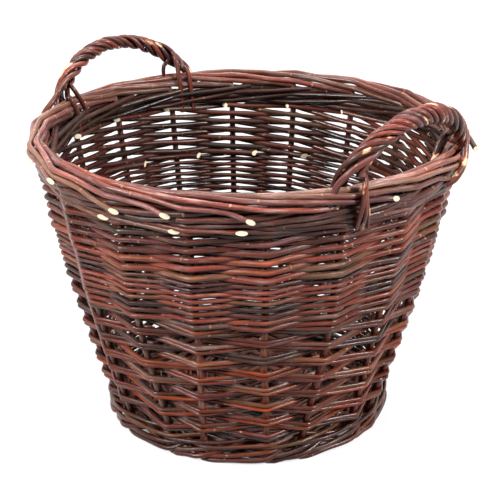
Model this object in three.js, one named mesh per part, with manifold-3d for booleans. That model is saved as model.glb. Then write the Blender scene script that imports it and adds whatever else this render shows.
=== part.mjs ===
// A round harvest basket of unpeeled willow: a domed base, eighteen stakes that
// turn up as its wall and down again as its border, rows woven of doubled rods,
// a three-rod wale at the foot and under the border, and two roped handles.
// Millimetres, +Z up. The origin is on the ground under the basket's middle.

import * as THREE from 'three';
import { mergeVertices } from 'three/addons/utils/BufferGeometryUtils.js';
import Module from 'manifold-3d';

const wasm = await Module();
wasm.setup();

// Overall form
const rimHeight = 300; // middle of the border above the ground
const rimRadius = 212.5; // middle of the border
const footRadius = 138; // circle on which the stakes turn up
const domeRise = 18; // middle of the base above its edge

// Rods
const stakeDiameter = 6.6;
const stickDiameter = 8;
const weaverDiameter = 4.6;
const waleDiameter = 5.6; // under the border
const footRodDiameter = 7; // the thicker rods at the foot
const strapDiameter = 4.8;
const gap = 0.3; // clearance between rods that touch
const rodSides = 5;
const stickSides = 6;
const grooveDepth = 0.6; // of a doubled rod's groove, as a share of its half thickness

// Stakes
const stickEnds = 9; // each carries one stake on either side
const pairPull = 3; // degrees by which a pair is drawn together at the foot
const pullHeight = 125; // height along the wall at which the pairs are even
const stakeInsert = 42; // how far a stake runs in from the foot, beside its stick
const footBend = 16; // length of each arm of the bend at the foot
const rimBend = 13; // the same, where a stake turns into the border

// Border
const borderReach = 5; // stakes that a border rod passes
const borderStart = 225; // degrees round the border, from outward over the top
const borderTurn = 285; // degrees that a rod winds round the border
const borderTail = 4; // degrees of azimuth that its cut end runs on
const borderSlope = 0.99; // share of the rods' spacing that their slope leaves

// Rows
const rowCount = 27;
const rowTaper = 0.78; // the top row's height as a share of the bottom row's
const rowStride = 5; // stakes by which each row's ends move on

// Base
const slathRadius = 16; // half the square in which the sticks cross
const fanRadius = 36; // radius at which the sticks have fanned out
const stickShort = 12; // how far the sticks stop short of the circle of the foot
const weaveStart = 43;
const weaveShort = 18; // the same for the middle of the last turn of the weave
const weaveTurns = 8;
const weaveTail = 8; // degrees that its ends run on past a stick

// Wale
const footTilt = 45; // degrees by which the foot wale leans under the bend
const waleSlope = 1.03; // room that the slope of its crossing rods takes
const flatDepth = 0.5; // depth of the flats on which the basket stands

// Handles. Each has the azimuth of its middle, the angle from there to its feet,
// its rise above the border and the diameter of its rope.
const rightHandle = { azimuth: -2, foot: 21.5, rise: 59, rope: 19 };
const leftHandle = { azimuth: 180, foot: 24.5, rise: 45, rope: 15.5 };
const handleReach = 13.5; // from the middle of the border to a handle's outside
const handleShape = 0.9; // 1 is a half ellipse, less is squarer
const ropeLobes = 4;
const ropeValley = 0.82; // radius between the lobes as a share of the rope's
const ropeTurns = 3;
const ropeSteps = 30;
const strapStart = 78; // degrees round the border at which a strap leaves the rope
const strapBends = [60, 20, -20]; // where it bends on its way over the border
const strapSlope = 1.06; // room that its straight runs take between those bends
const strapSides = 4;
const strapSpread = 3; // half the distance between a foot's straps at the rope
const strapFan = 6; // the same at their ends

const stickReach = footRadius - stickShort;
const stakeRoot = footRadius - stakeInsert;
const weaveEnd = footRadius - weaveShort;
const stakeCount = 2 * stickEnds;
const stakeAngle = 360 / stakeCount;
const borderStep = borderTurn / borderReach;
const borderChord = (stakeDiameter + gap) / borderSlope;
const wind = borderChord / (2 * Math.sin(rad(borderStep / 2)));
const borderRadius = wind + stakeDiameter / 2;

function rad(degrees) {
  return (degrees * Math.PI) / 180;
}

function at(radius, degrees, height) {
  const a = rad(degrees);
  return new THREE.Vector3(radius * Math.cos(a), radius * Math.sin(a), height);
}

function range(count, f) {
  return Array.from({ length: count }, (_, i) => f(i));
}

// A rod's line through given points. Its section keeps one axis along across,
// or is carried along without turning, and can twist about the line.
class RodPath extends THREE.Curve {
  constructor(points, { across = null, twist = 0 } = {}) {
    super();
    this.points = points;
    this.across = across;
    this.twist = twist;
  }

  getPoint(t) {
    const last = this.points.length - 1;
    const i = Math.min(Math.floor(t * last), last - 1);
    return this.points[i].clone().lerp(this.points[i + 1], t * last - i);
  }

  getSpacedPoints() {
    return this.points;
  }

  computeFrenetFrames() {
    const { points, across } = this;
    const last = points.length - 1;
    const tangents = points.map((_, i) => {
      const ahead = points[Math.min(i + 1, last)];
      return ahead.clone().sub(points[Math.max(i - 1, 0)]).normalize();
    });
    let carried = new THREE.Vector3(0.31, 0.17, 0.93); // along no rod
    const normals = tangents.map((tangent, i) => {
      const axis = across ? across[i] : carried;
      carried = axis.clone().projectOnPlane(tangent).normalize();
      return carried;
    });
    normals.forEach((normal, i) => {
      normal.applyAxisAngle(tangents[i], (rad(this.twist) * i) / last);
    });
    const binormals = tangents.map((t, i) => t.clone().cross(normals[i]));
    return { tangents, normals, binormals };
  }
}

function roundSection(diameter, sides = rodSides) {
  const corner = (i) => {
    const a = rad((360 * (i + 0.5)) / sides);
    return new THREE.Vector2(Math.cos(a), Math.sin(a)).multiplyScalar(diameter / 2);
  };
  return new THREE.Shape(range(sides, corner));
}

// Two rods lying side by side, with the groove between them on one side
function pairSection(thickness, height) {
  const [x, y] = [thickness / 2, height / 2];
  const corners = [[x, -y], [x * (1 - grooveDepth), 0], [x, y], [-x, y], [-x, -y]];
  return new THREE.Shape(corners.map(([a, b]) => new THREE.Vector2(a, b)));
}

function ropeSection(diameter) {
  const corner = (i) => {
    const reach = (diameter / 2) * (i % 2 ? ropeValley : 1);
    const a = rad((180 * i) / ropeLobes);
    return new THREE.Vector2(reach * Math.cos(a), reach * Math.sin(a));
  };
  return new THREE.Shape(range(2 * ropeLobes, corner));
}

function sweep(section, points, options) {
  const extrudePath = new RodPath(points, options);
  return new THREE.ExtrudeGeometry(section, {
    steps: points.length - 1,
    extrudePath,
  });
}

function bend(from, corner, to, steps) {
  const curve = new THREE.QuadraticBezierCurve3(from, corner, to);
  return curve.getPoints(steps);
}

function toSolid(geometry) {
  const bare = geometry.clone();
  bare.deleteAttribute('normal');
  bare.deleteAttribute('uv');
  const merged = mergeVertices(bare, 1e-4);
  return new wasm.Manifold(
    new wasm.Mesh({
      numProp: 3,
      vertProperties: new Float32Array(merged.attributes.position.array),
      triVerts: new Uint32Array(merged.index.array),
    }),
  );
}

function toGeometry(solid) {
  const { vertProperties, triVerts } = solid.getMesh();
  const geometry = new THREE.BufferGeometry();
  const position = new THREE.BufferAttribute(new Float32Array(vertProperties), 3);
  geometry.setAttribute('position', position);
  geometry.setIndex(Array.from(triVerts));
  geometry.computeVertexNormals();
  return geometry;
}

const basket = new THREE.Group();

function add(name, geometry, color, roughness = 0.5) {
  const material = new THREE.MeshStandardMaterial({ color, roughness });
  const mesh = new THREE.Mesh(geometry, material);
  mesh.name = name;
  basket.add(mesh);
}

// Offsets of a rod that passes in front of one post and behind the next, so
// that its straight runs clear both. spacing is the angle between the posts.
function passOffsets(radius, spacing, clear) {
  const [cos, sin] = [Math.cos(rad(spacing)), Math.sin(rad(spacing))];
  let [front, behind] = [clear, clear];
  for (let i = 0; i < 8; i += 1) {
    const [outer, inner] = [radius + front, radius - behind];
    const fall = Math.atan2(outer - inner * cos, inner * sin);
    const climb = Math.atan2(outer * cos - inner, outer * sin);
    [front, behind] = [clear / Math.cos(fall), clear / Math.cos(climb)];
  }
  return { front, behind };
}

// A wale's offsets across its line, and half the height between its front rods
function waleSizes(diameter, radius, spacing) {
  const pitch = diameter + gap;
  const lift = (pitch / 2) * waleSlope;
  const clear = (stakeDiameter + diameter) / 2 + gap;
  const { front, behind } = passOffsets(radius, spacing / 2, clear);
  const middle = (front - behind) / 2;
  const sideways = Math.sqrt(Math.max(pitch ** 2 - (1.5 * lift) ** 2, 0));
  const bulge = Math.max(2 * sideways - (front - middle), 0) + gap;
  return { diameter, lift, front, behind, middle, bulge };
}

// Side view of the stakes: from the dome's edge up to where they enter the border
const domeSlope = Math.atan((2 * domeRise) / footRadius);
const entry = new THREE.Vector2(
  rimRadius + wind * Math.cos(rad(borderStart)),
  rimHeight + wind * Math.sin(rad(borderStart)),
);
const pairAngle = stakeAngle - 2 * pairPull;
const footWale = waleSizes(footRodDiameter, footRadius, pairAngle);
const footDrop =
  footWale.front * Math.sin(rad(footTilt)) +
  footWale.lift * Math.cos(rad(footTilt)) +
  footRodDiameter / 2 -
  flatDepth;
const wallLean = Math.atan((entry.x - footRadius) / entry.y);
const footMiddle = new THREE.Vector2(
  footRadius + (footBend / 4) * (Math.sin(wallLean) - Math.cos(domeSlope)),
  footDrop,
);
const edgeHeight =
  footDrop - (footBend / 4) * (Math.cos(wallLean) + Math.sin(domeSlope));
const edge = new THREE.Vector2(footRadius, edgeHeight);
const wallUp = entry.clone().sub(edge).normalize();
const wallOut = new THREE.Vector2(wallUp.y, -wallUp.x);
const wallLength = entry.distanceTo(edge);

function domeHeight(radius) {
  return edgeHeight + domeRise * (1 - (radius / footRadius) ** 2);
}

// Azimuth of stake k at a length along the wall
function stakeAzimuth(k, along) {
  const pull = pairPull * Math.max(0, 1 - along / pullHeight);
  return stakeAngle * k + (k % 2 ? -pull : pull);
}

function wallPoint(along, azimuth, offset = 0) {
  const radius = edge.x + wallUp.x * along + wallOut.x * offset;
  return at(radius, azimuth, edge.y + wallUp.y * along + wallOut.y * offset);
}

function wallNormal(azimuth) {
  return at(wallOut.x, azimuth, wallOut.y);
}

// Point of a stake's leg in the base, from its root (0) to the edge (1)
const rootOffset = (stickDiameter + stakeDiameter) / 2 + gap;
function legPoint(k, t) {
  const middle = stakeAngle * (k + (k % 2 ? -0.5 : 0.5));
  const side = k % 2 ? 1 : -1;
  const root = at(stakeRoot, middle, 0).add(at(rootOffset, middle + 90 * side, 0));
  const point = root.lerp(at(footRadius, stakeAzimuth(k, 0), 0), t);
  return point.setZ(domeHeight(point.length()));
}

function borderPoint(azimuth, past) {
  const turn = rad(borderStart - (borderStep * past) / stakeAngle);
  const radius = rimRadius + wind * Math.cos(turn);
  return at(radius, azimuth + past, rimHeight + wind * Math.sin(turn));
}

// Stakes: leg, bend, wall, bend, then wound round the rim as one border rod
function stakePoints(k) {
  const azimuth = stakeAzimuth(k, wallLength);
  const legLength = legPoint(k, 0).distanceTo(legPoint(k, 1));
  const bendStart = 1 - footBend / legLength;
  const wallStart = wallPoint(footBend, stakeAzimuth(k, footBend));
  const rimTurn = (rimBend / rimRadius) * (180 / Math.PI);
  const rimCorner = borderPoint(azimuth, 0);
  const rimEnd = borderPoint(azimuth, rimTurn);
  const half = stakeAngle / 2;
  return [
    legPoint(k, 0),
    legPoint(k, bendStart / 2),
    ...bend(legPoint(k, bendStart), legPoint(k, 1), wallStart, 3),
    wallPoint(pullHeight, azimuth),
    ...bend(wallPoint(wallLength - rimBend, azimuth), rimCorner, rimEnd, 2),
    ...range(2 * borderReach, (i) => borderPoint(azimuth, half * (i + 1))),
    borderPoint(azimuth, borderReach * stakeAngle + borderTail),
  ];
}

const barks = ['#5a322c', '#4c2b28', '#63392f', '#543436', '#6b4237', '#4a3230'];
const bark = (i) => barks[i % barks.length];
const label = (i) => String(i + 1).padStart(2, '0');

range(stakeCount, (k) => {
  const section = roundSection(stakeDiameter);
  add(`stake_${label(k)}`, sweep(section, stakePoints(k)), bark(k));
});

// Three-rod wale: each rod goes in front of two stakes and behind one. place
// gives the point and the outward axis for an azimuth and two offsets.
function waleRod(first, sizes, azimuthOf, place) {
  const { diameter, lift, front, behind, middle, bulge } = sizes;
  const halfway = (a, b) => (a + b) / 2;
  const stations = range(2 * stakeCount + 1, (i) => {
    const stake = (first + Math.floor(i / 2)) % stakeCount;
    const lap = Math.floor((first + Math.floor(i / 2)) / stakeCount) * 360;
    const here = azimuthOf(stake) + lap;
    const over = stake + 1 === stakeCount ? 360 : 0;
    const next = azimuthOf((stake + 1) % stakeCount) + lap + over;
    const phase = Math.floor(i / 2) % 3;
    if (i % 2 === 0) {
      const across = [-behind, front, front][phase];
      return [here, across, [0, -lift, lift][phase]];
    }
    const across = [middle, front + bulge, middle][phase];
    return [halfway(here, next), across, [-lift, 0, lift][phase]];
  });
  const trim = (gap / footRadius) * (180 / Math.PI);
  stations[0][0] += trim;
  stations[2 * stakeCount][0] -= trim;
  const placed = stations.map((station) => place(...station));
  const line = placed.map(({ point }) => point);
  const across = placed.map(({ axis }) => axis);
  return sweep(roundSection(diameter), line, { across });
}

// Foot wale, leaning under the bend of the stakes and cut flat where it stands
const [tiltCos, tiltSin] = [Math.cos(rad(footTilt)), Math.sin(rad(footTilt))];
const ground = new THREE.BoxGeometry(4 * rimRadius, 4 * rimRadius, footBend);
ground.translate(0, 0, -footBend / 2);
range(3, (i) => {
  const azimuthOf = (k) => stakeAzimuth(k, 0);
  const rod = waleRod(i, footWale, azimuthOf, (azimuth, out, up) => {
    const radius = footMiddle.x + out * tiltCos + up * tiltSin;
    const height = footMiddle.y - out * tiltSin + up * tiltCos;
    return { point: at(radius, azimuth, height), axis: at(tiltCos, azimuth, -tiltSin) };
  });
  const cut = toSolid(rod).subtract(toSolid(ground));
  add(`foot_wale_${label(i)}`, toGeometry(cut), bark(i + 3));
});

// Wale under the border
const rimWale = waleSizes(waleDiameter, entry.x, stakeAngle);
const waleTop = rimWale.lift + waleDiameter / 2 + gap;
const rimWaleAlong = (rimHeight - borderRadius - edge.y) / wallUp.y - waleTop;
range(3, (i) => {
  const azimuthOf = (k) => stakeAzimuth(k, rimWaleAlong);
  const rod = waleRod(i + 1, rimWale, azimuthOf, (azimuth, out, up) => ({
    point: wallPoint(rimWaleAlong + up, azimuth, out),
    axis: wallNormal(azimuth),
  }));
  add(`rim_wale_${label(i)}`, rod, bark(i + 1));
});

// Rows of doubled rods, in front of one stake and behind the next. Each row
// fills its share of the wall, and its ends meet behind a stake.
const footWaleTop =
  footMiddle.y + footWale.behind * tiltSin + footRodDiameter / 2 + 2 * gap;
const rowsFrom = (footWaleTop - edge.y) / wallUp.y;
const rowsTo = rimWaleAlong - waleTop;
const rowShares = range(rowCount, (j) => 1 + ((rowTaper - 1) * j) / (rowCount - 1));
const shareSum = rowShares.reduce((sum, share) => sum + share, 0);
const rowPitches = rowShares.map((s) => (s / shareSum) * (rowsTo - rowsFrom));

range(rowCount, (j) => {
  const below = rowPitches.slice(0, j).reduce((sum, pitch) => sum + pitch, 0);
  const along = rowsFrom + below + rowPitches[j] / 2;
  const radius = edge.x + wallUp.x * along;
  const closest = stakeAzimuth(1, along) - stakeAzimuth(0, along);
  const clear = (stakeDiameter + weaverDiameter) / 2 + gap;
  const { front, behind } = passOffsets(radius, closest, clear);
  const first = (rowStride * j + 1) % stakeCount;
  const endTurn = (gap / radius) * (180 / Math.PI);
  const azimuths = range(stakeCount + 1, (i) => {
    const end = i === 0 ? endTurn : 0;
    const lap = 360 * Math.floor((first + i) / stakeCount);
    const turned = i === stakeCount ? -endTurn : end;
    return stakeAzimuth((first + i) % stakeCount, along) + lap + turned;
  });
  const points = azimuths.map((azimuth, i) =>
    wallPoint(along, azimuth, i % 2 ? front : -behind),
  );
  const section = pairSection(weaverDiameter, rowPitches[j] - gap);
  const across = azimuths.map(wallNormal);
  add(`row_${label(j)}`, sweep(section, points, { across }), bark(j + 2));
});

// Base sticks: two under, two and a half over, fanned out to the stake pairs
const endAzimuth = (i) => stakeAngle * (2 * i + 0.5);
const stickPitch = stickDiameter + gap;
const fanPoints = (azimuth) =>
  range(4, (i) => {
    const radius = stickReach + ((fanRadius - stickReach) * i) / 3;
    return at(radius, azimuth, domeHeight(radius));
  });
const crossing = (x, y, level) =>
  new THREE.Vector3(x, y, domeHeight(0) + (level * stickPitch) / 2);
const slathEnd = slathRadius + stickPitch / 2;
const sticks = [
  [0, [slathEnd, 0.5], [-slathEnd, 0.5], 4, -1],
  [8, [slathEnd, -0.5], [-slathEnd, -0.5], 5, -1],
  [3, [-1, slathEnd], [-1, -slathEnd], 6, 1],
  [1, [1, slathEnd], [1, -slathEnd], 7, 1],
  [2, [0, slathEnd], [0, -slathEnd], null, 1],
];
sticks.forEach(([from, near, far, to, level], i) => {
  const lanes = ([x, y]) =>
    level < 0 ? crossing(x, y * stickPitch, level) : crossing(x * stickPitch, y, level);
  const points = [...fanPoints(endAzimuth(from)), lanes(near), lanes(far)];
  if (to !== null) {
    points.push(...fanPoints(endAzimuth(to)).reverse());
  }
  const section = roundSection(stickDiameter, stickSides);
  add(`base_stick_${i + 1}`, sweep(section, points), bark(i));
});

// Base weave: one doubled rod that goes round and round over nine stick ends,
// and at the edge over the stake legs beside each end as well
const weavePitch = (weaveEnd - weaveStart) / weaveTurns;
const weaveWidth = weavePitch * Math.cos(rad(stakeAngle)) - gap;
const weaveClear = (stickDiameter + weaverDiameter) / 2 + gap;
const legsFrom = stakeRoot - weavePitch / 2;
const weaveRadius = (turn) => weaveStart + weavePitch * turn;
const legTurn = (radius) => {
  const t = Math.max(0, (radius - stakeRoot) / (footRadius - stakeRoot));
  const leg = legPoint(1, t);
  return (Math.atan2(leg.y, leg.x) * 180) / Math.PI - endAzimuth(0);
};
const weaveAngles = range(weaveTurns * stickEnds + 1, (i) => {
  const turn = i / stickEnds;
  const azimuth = endAzimuth(i);
  const side = weaveRadius(turn) > legsFrom ? legTurn(weaveRadius(turn)) : 0;
  return (side ? [-side, 0, side] : [0]).map((shift) => [azimuth + shift, i]);
}).flat();
weaveAngles.unshift([endAzimuth(0) - weaveTail, 0]);
const weavePoints = weaveAngles.map(([azimuth, i]) => {
  const radius = weaveRadius((azimuth - endAzimuth(0)) / 360);
  const inner = radius - weaveWidth / 2;
  const chord = 2 * inner * Math.sin(rad(stakeAngle)) * Math.cos(rad(stakeAngle));
  const rise = (2 * weaveClear) / chord;
  const lift = weaveClear / Math.sqrt(1 - rise ** 2);
  return at(radius, azimuth, domeHeight(radius) + (i % 2 ? lift : -lift));
});
const domeNormals = weaveAngles.map(([azimuth]) => {
  const radius = weaveRadius((azimuth - endAzimuth(0)) / 360);
  return at((2 * domeRise * radius) / footRadius ** 2, azimuth, 1);
});
const weaveSection = pairSection(weaverDiameter, weaveWidth);
add('base_weave', sweep(weaveSection, weavePoints, { across: domeNormals }), bark(4));

// Roped handles: a twisted arch on the border, held at each foot by two straps
// outside and two inside that run over the border and down past the wale
const handleBase = rimHeight + borderRadius + gap;
const strapOut = (borderRadius + gap + strapDiameter / 2) * strapSlope;
const strapHold = rimWale.front + rimWale.bulge + waleDiameter / 2;
const strapRow = strapHold + gap + strapDiameter / 2;

function ropePoints({ azimuth, foot, rise, rope }) {
  return range(ropeSteps + 1, (i) => {
    const t = (Math.PI * i) / ropeSteps;
    const share = Math.sin(t) ** handleShape;
    const radius = rimRadius + (handleReach - rope / 2) * share;
    return at(radius, azimuth + foot * Math.cos(t), handleBase + rise * share);
  });
}

function strapPoints(azimuth, rope, side, lane) {
  const turn = (reach) => ((lane * reach) / rimRadius) * (180 / Math.PI);
  const around = (degrees, distance) => {
    const radius = rimRadius + side * distance * Math.cos(rad(degrees));
    const height = rimHeight + distance * Math.sin(rad(degrees));
    return at(radius, azimuth + turn(strapSpread), height);
  };
  const down = (along) => wallPoint(along, azimuth + turn(strapFan), side * strapRow);
  return [
    around(strapStart, borderRadius + rope / 2),
    ...strapBends.map((degrees) => around(degrees, strapOut)),
    down(rimWaleAlong + waleTop),
    down(rimWaleAlong - waleTop),
  ];
}

function handleGeometry(handle) {
  const { azimuth, foot, rope } = handle;
  const twist = 360 * ropeTurns;
  const arch = sweep(ropeSection(rope), ropePoints(handle), { twist });
  const section = roundSection(strapDiameter, strapSides);
  const straps = [azimuth - foot, azimuth + foot].flatMap((end) =>
    [[1, 1], [1, -1], [-1, 1], [-1, -1]].map(([side, lane]) =>
      toSolid(sweep(section, strapPoints(end, rope, side, lane))),
    ),
  );
  return toGeometry(straps.reduce((solid, strap) => solid.add(strap), toSolid(arch)));
}

add('handle_right', handleGeometry(rightHandle), '#6e3a2c', 0.4);
add('handle_left', handleGeometry(leftHandle), '#6e3a2c', 0.4);

export default basket;
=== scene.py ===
# %% [markdown]
# # A harvest basket of unpeeled willow
#
# This lesson dresses a round basket that a CAD model has already sized. The CAD
# part holds every rod as a plain bent bar. Here each rod becomes what it is on
# the real basket: a round, tapering shoot with its own tone of bark, bent hard
# where it passes a stake and cut to a pale slanting face where it ends.
#
# All lengths in the formulas are millimetres, and turn into metres at the
# moment a mesh is made. Azimuths are degrees round the basket.

# %% The frame
import itertools
import math
import random

import bmesh
import bpy
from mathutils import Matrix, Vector


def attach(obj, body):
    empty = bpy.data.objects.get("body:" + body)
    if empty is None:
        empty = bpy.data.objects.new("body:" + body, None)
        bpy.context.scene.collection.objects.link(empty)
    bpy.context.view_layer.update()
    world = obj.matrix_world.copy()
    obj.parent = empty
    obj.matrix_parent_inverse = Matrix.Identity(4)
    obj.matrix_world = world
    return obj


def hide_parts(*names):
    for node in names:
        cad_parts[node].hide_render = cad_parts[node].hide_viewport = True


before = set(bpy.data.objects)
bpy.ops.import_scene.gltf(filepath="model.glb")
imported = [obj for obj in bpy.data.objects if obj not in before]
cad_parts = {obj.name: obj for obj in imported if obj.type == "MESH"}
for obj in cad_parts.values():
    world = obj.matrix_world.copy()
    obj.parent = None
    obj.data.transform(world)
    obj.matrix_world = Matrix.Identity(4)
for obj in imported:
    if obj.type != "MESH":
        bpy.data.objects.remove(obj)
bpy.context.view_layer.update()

# %% [markdown]
# ## The shape of the basket
#
# The wall runs from the foot, where the stakes turn up, to the border, where
# they turn down again. A place on it is told by its azimuth, its length along
# the wall from the foot and its distance outward from the stakes' circle. These
# are the part's own sizes, so what is made from them lies where the CAD rods
# lie. Only the bulge is new: the part's wall is a straight cone, and the real
# one bows out by a few millimetres at half its height.
#
# The stakes stand in pairs, drawn together at the foot and evenly spaced from
# the pull height up. A border rod winds round the middle of the border, and its
# place is told by how far it is past its own stake.

# %% Sizes shared with the part
MM = 0.001
STAKES = 18
STEP = 360 / STAKES
RIM_RADIUS, RIM_HEIGHT = 212.5, 300.0
FOOT_RADIUS, EDGE_HEIGHT, DOME_RISE = 138.0, 10.8072, 18.0
WALL_LENGTH, BULGE = 292.369, 6.0
WALL_UP = Vector((0.237151, 0.971473))
WALL_OUT = Vector((0.971473, -0.237151))
PAIR_PULL, PULL_HEIGHT = 3.0, 125.0
STAKE_RADIUS, GAP = 3.3, 0.3
WIND, BORDER_START, BORDER_STEP = 7.3033, 225.0, 48.0


def spot(radius, azimuth, height=0.0):
    turned = math.radians(azimuth)
    return Vector((radius * math.cos(turned), radius * math.sin(turned), height))


def outward_at(point):
    return Vector((point.x, point.y, 0)).normalized()


def wall_point(along, azimuth, outward=0.0):
    radius = FOOT_RADIUS + WALL_UP.x * along + WALL_OUT.x * outward
    radius += BULGE * math.sin(math.pi * min(1.0, max(0.0, along / WALL_LENGTH)))
    height = EDGE_HEIGHT + WALL_UP.y * along + WALL_OUT.y * outward
    return spot(radius, azimuth, height)


def wall_at(height):
    return (height - EDGE_HEIGHT) / WALL_UP.y


def stake_azimuth(turn, along):
    pull = PAIR_PULL * max(0.0, 1 - along / PULL_HEIGHT)
    rounds, k = divmod(turn, STAKES)
    return STEP * k + (-pull if k % 2 else pull) + 360 * rounds


def border_point(azimuth, past, wind=WIND, ahead=0.0):
    turn = math.radians(BORDER_START - BORDER_STEP * past / STEP + ahead)
    radius = RIM_RADIUS + wind * math.cos(turn)
    return spot(radius, azimuth + past, RIM_HEIGHT + wind * math.sin(turn))


def dome_height(radius):
    return EDGE_HEIGHT + DOME_RISE * (1 - (radius / FOOT_RADIUS) ** 2)


# %% [markdown]
# ## One rod
#
# Every piece of the basket is made of rods, so one function makes them all. A
# bevelled curve would be less work, but has no slanting cuts and nothing that
# tells bark from wood. The function takes a straight bar from Blender's cone
# operator, cuts its long edges into rings, and carries each ring to its place
# on the rod's line. The straight bar's own coordinates stay on the vertices as
# an attribute named grain, so that bark streaks run along the rod however it
# bends. A second attribute named tone holds three chance numbers, the same all
# over one rod, from which its bark gets its own colour. A third, inner, tells
# the crevices: it is 1 where the rod's skin faces the basket's axis, or a
# rope's core, and -1 where it faces away.
#
# A line is kinked where a rod is bent hard at each stake, with a straight run
# between, and flowing where it bends all the way. No rod is quite true, so a
# line then wanders on slow waves up and down and in and out.

# %% A line from bend to bend
WAVE_LENGTHS = (55, 90)


def between(start, end, spacing):
    count = int((end - start).length / spacing)
    return [start.lerp(end, (i + 1) / (count + 1)) for i in range(count)]


def kinked(corners, arm=2.8, spacing=12.0):
    line = [corners[0]]
    for before, corner, after in zip(corners, corners[1:], corners[2:]):
        into, out = corner - before, after - corner
        reach = min(arm, 0.4 * into.length, 0.4 * out.length)
        start = corner - into.normalized() * reach
        end = corner + out.normalized() * reach
        line += between(line[-1], start, spacing)
        line += [start, (start + corner * 2 + end) / 4, end]
    return line + between(line[-1], corners[-1], spacing) + [corners[-1]]


def flowing(corners, spacing=5.0):
    ends = [corners[0] * 2 - corners[1], *corners, corners[-1] * 2 - corners[-2]]
    line = [corners[0]]
    for a, b, c, d in zip(ends, ends[1:], ends[2:], ends[3:]):
        count = max(2, round((c - b).length / spacing))
        square = a * 2 - b * 5 + c * 4 - d
        cube = b * 3 - a - c * 3 + d
        for i in range(1, count + 1):
            t = i / count
            line.append(0.5 * (b * 2 + (c - a) * t + square * t**2 + cube * t**3))
    return line


def wander(line, chance, rise, sway):
    waves = [(chance.uniform(*WAVE_LENGTHS), chance.uniform(0, math.tau)) for _ in range(4)]
    travelled, moved = 0.0, []
    for i, point in enumerate(line):
        travelled += (point - line[i - 1]).length if i else 0.0
        a, b, c, d = (math.sin(math.tau * travelled / w + p) for w, p in waves)
        lifted = point + Vector((0, 0, rise * 0.5 * (a + b)))
        moved.append(lifted + outward_at(point) * sway * 0.5 * (c + d))
    return moved


def beyond(end, before, distance):
    return end + (end - before).normalized() * distance


# %% Rings carried along a line
def carried_rings(line):
    last = len(line) - 1
    ahead = [(line[min(i + 1, last)] - line[max(i - 1, 0)]).normalized() for i in range(last + 1)]
    across = ahead[0].orthogonal().normalized()
    rings = [(line[0], across, ahead[0].cross(across), ahead[0])]
    for i in range(1, last + 1):
        across = ahead[i - 1].rotation_difference(ahead[i]) @ across
        across = (across - ahead[i] * across.dot(ahead[i])).normalized()
        rings.append((line[i], across, ahead[i].cross(across), ahead[i]))
    return rings


# %% [markdown]
# A rod tapers from butt to tip, and its thickness swells and shrinks a little
# on the way. Its ends are flat, or cut on a slant: cuts gives the direction
# that each cut face looks in, and slant how far the cut runs along the rod.

# %% The rod itself
BARK, PITH = 0, 1
SWELLING, SWELL_LENGTHS = 0.025, (25, 60)
CUT_TILT = 0.25


def straight_bar(rings, sides):
    bar = bmesh.new()
    bmesh.ops.create_cone(
        bar, cap_ends=True, cap_tris=False, segments=sides, radius1=1, radius2=1, depth=rings - 1
    )
    long_edges = [e for e in bar.edges if abs(e.verts[0].co.z - e.verts[1].co.z) > 0.5]
    bmesh.ops.subdivide_edges(bar, edges=long_edges, cuts=rings - 2)
    for face in bar.faces:
        end = len(face.verts) > 4
        face.material_index = PITH if end else BARK
        face.smooth = not end
        if end:
            for edge in face.edges:
                edge.smooth = False
    return bar


def add_rod(
    piece, line, butt, tip, chance, sides=10, cuts=(None, None), slant=1.0, away=outward_at
):
    last = len(line) - 1
    bar = straight_bar(len(line), sides)
    grain = bar.verts.layers.float_vector.new("grain")
    tone = bar.verts.layers.float_vector.new("tone")
    # inner tells the crevices, where the bark finishes paint shade.
    inner = bar.verts.layers.float.new("inner")
    own_tone = Vector((chance.random(), chance.random(), chance.random()))
    shift = chance.uniform(0, 20)
    lengths = [0.0]
    for a, b in zip(line, line[1:]):
        lengths.append(lengths[-1] + (b - a).length)
    swells = [(chance.uniform(*SWELL_LENGTHS), chance.uniform(0, math.tau)) for _ in range(2)]
    rings = carried_rings(line)
    for vert in bar.verts:
        i = round(vert.co.z + last / 2)
        centre, across, upright, ahead = rings[i]
        radius = butt + (tip - butt) * lengths[i] / lengths[-1]
        for wave, phase in swells:
            radius *= 1 + SWELLING * math.sin(math.tau * lengths[i] / wave + phase)
        out = (across * vert.co.x + upright * vert.co.y) * radius
        vert[grain] = (lengths[i] * MM + shift, vert.co.x * radius * MM, vert.co.y * radius * MM)
        vert[tone] = own_tone
        vert[inner] = -out.normalized().dot(away(centre))
        if i == 0 and cuts[0]:
            out += ahead * slant * out.dot(cuts[0])
        if i == last and cuts[1]:
            out -= ahead * slant * out.dot(cuts[1])
        vert.co = (centre + out) * MM
    bar_mesh = bpy.data.meshes.new("bar")
    bar.to_mesh(bar_mesh)
    bar.free()
    piece.from_mesh(bar_mesh)
    bpy.data.meshes.remove(bar_mesh)


def outward_and_up(point):
    return (outward_at(point) + Vector((0, 0, CUT_TILT))).normalized()


# %% [markdown]
# ## Bark and cut wood
#
# Unpeeled willow isn't one brown. Each shoot ripened in its own light, so its
# bark is red-brown, liver, purple, grey or olive, with fine streaks along it,
# grey bloom in patches, small pale pores, and a bud scar every few centimetres.
# The bark is waxed by the soaking and handling, so it shines. All of that could
# be painted on an image, but formulas on the grain attribute stay sharp at any
# distance and follow each bend.
#
# Formulas are written as plain Python sums. A small class, Wire, stands for a
# socket, and using it in a sum adds the Math nodes.

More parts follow.
